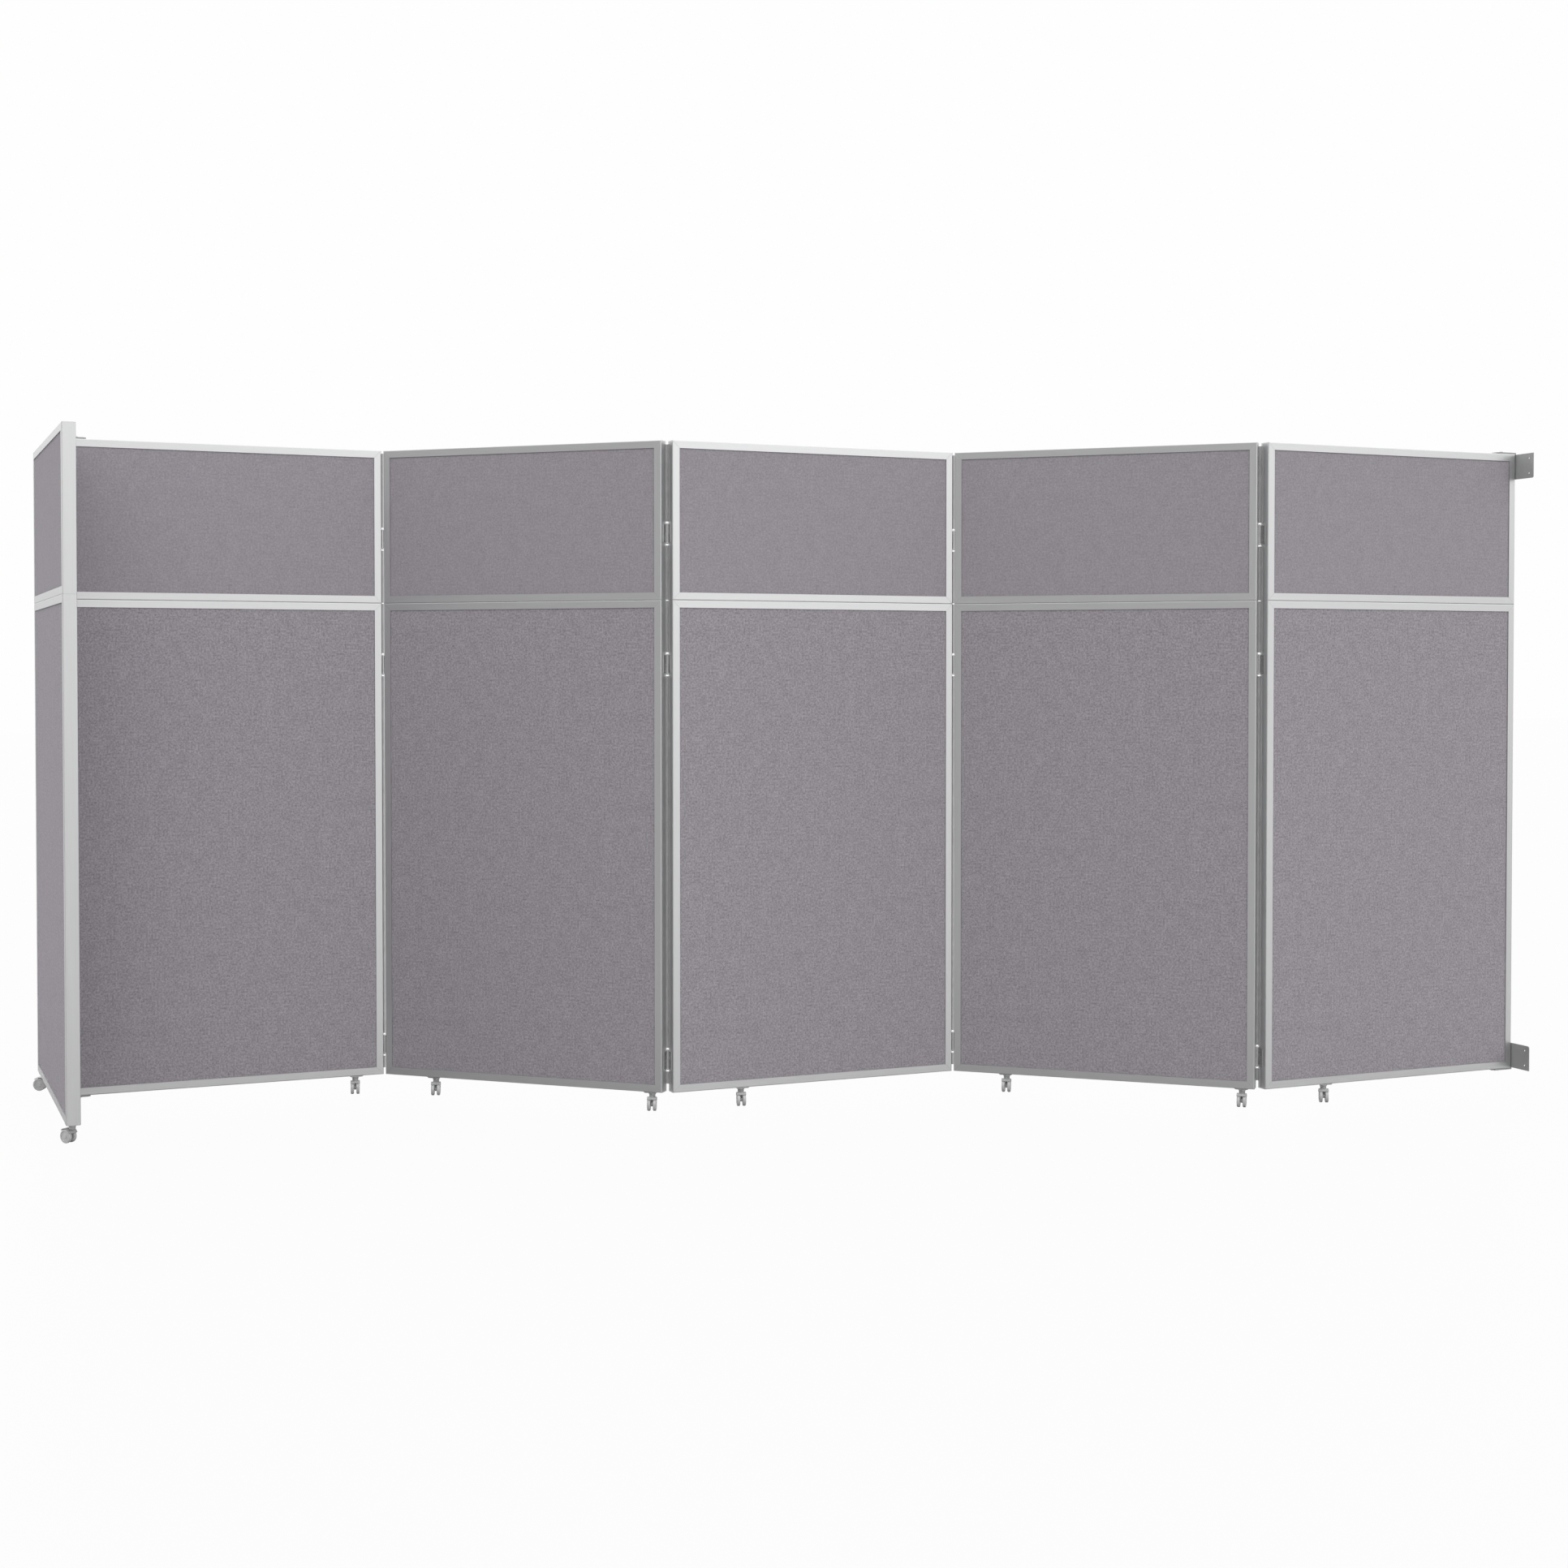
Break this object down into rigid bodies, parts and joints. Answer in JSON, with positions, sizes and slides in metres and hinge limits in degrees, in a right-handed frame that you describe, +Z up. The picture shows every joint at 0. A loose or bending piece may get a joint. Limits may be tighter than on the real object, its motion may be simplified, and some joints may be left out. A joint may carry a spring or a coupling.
{
  "type": "partition wall",
  "caption": "Accordion-folding room divider of hinged fabric-covered panels in slim metal frames on casters, with a T-shaped free end and steel brackets that hold the other end to a wall.",
  "frame": {"origin": "centre of the whole row's footprint, on the floor under the casters", "axes": "+Z up; +X along the row from the T-shaped end towards the building wall; -Y is the side the front faces look to"},
  "size_m": [5.5638, 2.4014, 2.582],
  "materials": {
    "frame_metal": "satin anodised",
    "fabric_board": "woven heather, matt",
    "hinge_steel": "polished",
    "seal_rubber": "matt",
    "bracket_paint": "fine-textured paint",
    "screw_steel": "satin paint",
    "caster_steel": "zinc plated",
    "caster_shell": "moulded",
    "caster_wheel": "moulded"
  },
  "bodies": {
    "panel1": {"tee_upper_frame": "frame_metal", "tee_lower_frame": "frame_metal", "tee_upper_board": "fabric_board", "tee_lower_board": "fabric_board", "panel1_upper_frame": "frame_metal", "panel1_lower_frame": "frame_metal", "panel1_upper_board": "fabric_board", "panel1_lower_board": "fabric_board", "panel1_hinge_leaves": "hinge_steel", "panel1_seals": "seal_rubber", "tee_brackets": "bracket_paint", "tee_bracket_screws": "screw_steel", "tee_caster_plates": "caster_steel", "panel1_caster_plate": "caster_steel"},
    "panel2": {"panel2_upper_frame": "frame_metal", "panel2_lower_frame": "frame_metal", "panel2_upper_board": "fabric_board", "panel2_lower_board": "fabric_board", "panel2_hinge_leaves": "hinge_steel", "panel2_caster_plates": "caster_steel"},
    "panel3": {"panel3_upper_frame": "frame_metal", "panel3_lower_frame": "frame_metal", "panel3_upper_board": "fabric_board", "panel3_lower_board": "fabric_board", "panel3_hinge_leaves": "hinge_steel", "panel3_seals": "seal_rubber", "panel3_caster_plate": "caster_steel"},
    "panel4": {"panel4_upper_frame": "frame_metal", "panel4_lower_frame": "frame_metal", "panel4_upper_board": "fabric_board", "panel4_lower_board": "fabric_board", "panel4_hinge_leaves": "hinge_steel", "panel4_caster_plates": "caster_steel"},
    "panel5": {"panel5_upper_frame": "frame_metal", "panel5_lower_frame": "frame_metal", "panel5_upper_board": "fabric_board", "panel5_lower_board": "fabric_board", "panel5_hinge_leaves": "hinge_steel", "panel5_seals": "seal_rubber", "panel5_caster_plate": "caster_steel", "wall_brackets": "bracket_paint", "wall_bracket_screws": "screw_steel"},
    "caster1_fork": {"caster1_body": "caster_shell"},
    "caster1_wheelset": {"caster1_wheels": "caster_wheel"},
    "caster2_fork": {"caster2_body": "caster_shell"},
    "caster2_wheelset": {"caster2_wheels": "caster_wheel"},
    "caster3_fork": {"caster3_body": "caster_shell"},
    "caster3_wheelset": {"caster3_wheels": "caster_wheel"},
    "caster4_fork": {"caster4_body": "caster_shell"},
    "caster4_wheelset": {"caster4_wheels": "caster_wheel"},
    "caster5_fork": {"caster5_body": "caster_shell"},
    "caster5_wheelset": {"caster5_wheels": "caster_wheel"},
    "caster6_fork": {"caster6_body": "caster_shell"},
    "caster6_wheelset": {"caster6_wheels": "caster_wheel"},
    "caster7_fork": {"caster7_body": "caster_shell"},
    "caster7_wheelset": {"caster7_wheels": "caster_wheel"},
    "caster8_fork": {"caster8_body": "caster_shell"},
    "caster8_wheelset": {"caster8_wheels": "caster_wheel"},
    "caster9_fork": {"caster9_body": "caster_shell"},
    "caster9_wheelset": {"caster9_wheels": "caster_wheel"}
  },
  "joints": [
    {"name": "fold_d", "type": "hinge", "parent": "panel5", "child": "panel4", "pos_m": [1.56993, -1.04868, 1.7175], "axis": [0, 0, -1], "range_deg": [-42.9, 127.1]},
    {"name": "fold_c", "type": "hinge", "parent": "panel4", "child": "panel3", "pos_m": [0.64753, -0.26525, 1.7175], "axis": [0, 0, 1], "range_deg": [-42.9, 127.1]},
    {"name": "fold_b", "type": "hinge", "parent": "panel3", "child": "panel2", "pos_m": [-0.56147, -0.21125, 1.7175], "axis": [0, 0, -1], "range_deg": [-42.9, 127.1]},
    {"name": "fold_a", "type": "hinge", "parent": "panel2", "child": "panel1", "pos_m": [-1.48388, 0.57219, 1.7175], "axis": [0, 0, 1], "range_deg": [-42.9, 112]},
    {"name": "swivel_1", "type": "hinge", "parent": "panel1", "child": "caster1_fork", "pos_m": [-2.73488, 1.15068, 0.067], "axis": [0, 0, 1], "continuous": true},
    {"name": "wheel_1", "type": "hinge", "parent": "caster1_fork", "child": "caster1_wheelset", "pos_m": [-2.75329, 1.1585, 0.025], "axis": [-0.3907, -0.9205, 0], "continuous": true},
    {"name": "swivel_2", "type": "hinge", "parent": "panel1", "child": "caster2_fork", "pos_m": [-2.73488, 0.04768, 0.067], "axis": [0, 0, 1], "continuous": true},
    {"name": "wheel_2", "type": "hinge", "parent": "caster2_fork", "child": "caster2_wheelset", "pos_m": [-2.74691, 0.06366, 0.025], "axis": [-0.7986, -0.6018, 0], "continuous": true},
    {"name": "swivel_3", "type": "hinge", "parent": "panel1", "child": "caster3_fork", "pos_m": [-1.59688, 0.59918, 0.067], "axis": [0, 0, 1], "continuous": true},
    {"name": "wheel_3", "type": "hinge", "parent": "caster3_fork", "child": "caster3_wheelset", "pos_m": [-1.60172, 0.57978, 0.025], "axis": [0.9703, -0.2419, 0], "continuous": true},
    {"name": "swivel_4", "type": "hinge", "parent": "panel2", "child": "caster4_fork", "pos_m": [-1.3058, 0.44357, 0.067], "axis": [0, 0, 1], "continuous": true},
    {"name": "wheel_4", "type": "hinge", "parent": "caster4_fork", "child": "caster4_wheelset", "pos_m": [-1.31228, 0.42464, 0.025], "axis": [0.9461, -0.3239, 0], "continuous": true},
    {"name": "swivel_5", "type": "hinge", "parent": "panel2", "child": "caster5_fork", "pos_m": [-0.61868, -0.19495, 0.067], "axis": [0, 0, 1], "continuous": true},
    {"name": "wheel_5", "type": "hinge", "parent": "caster5_fork", "child": "caster5_wheelset", "pos_m": [-0.6271, -0.21309, 0.025], "axis": [0.907, -0.421, 0], "continuous": true},
    {"name": "swivel_6", "type": "hinge", "parent": "panel3", "child": "caster6_fork", "pos_m": [-0.26847, -0.23825, 0.067], "axis": [0, 0, 1], "continuous": true},
    {"name": "wheel_6", "type": "hinge", "parent": "caster6_fork", "child": "caster6_wheelset", "pos_m": [-0.27432, -0.25738, 0.025], "axis": [0.9563, -0.2924, 0], "continuous": true},
    {"name": "swivel_7", "type": "hinge", "parent": "panel4", "child": "caster7_fork", "pos_m": [0.8256, -0.39387, 0.067], "axis": [0, 0, 1], "continuous": true},
    {"name": "wheel_7", "type": "hinge", "parent": "caster7_fork", "child": "caster7_wheelset", "pos_m": [0.81445, -0.41047, 0.025], "axis": [0.83, -0.5577, 0], "continuous": true},
    {"name": "swivel_8", "type": "hinge", "parent": "panel4", "child": "caster8_fork", "pos_m": [1.51273, -1.03238, 0.067], "axis": [0, 0, 1], "continuous": true},
    {"name": "wheel_8", "type": "hinge", "parent": "caster8_fork", "child": "caster8_wheelset", "pos_m": [1.4999, -1.04773, 0.025], "axis": [0.7672, -0.6414, 0], "continuous": true},
    {"name": "swivel_9", "type": "hinge", "parent": "panel5", "child": "caster9_fork", "pos_m": [1.86293, -1.07568, 0.067], "axis": [0, 0, 1], "continuous": true},
    {"name": "wheel_9", "type": "hinge", "parent": "caster9_fork", "child": "caster9_wheelset", "pos_m": [1.85263, -1.09283, 0.025], "axis": [0.8572, -0.515, 0], "continuous": true}
  ]
}
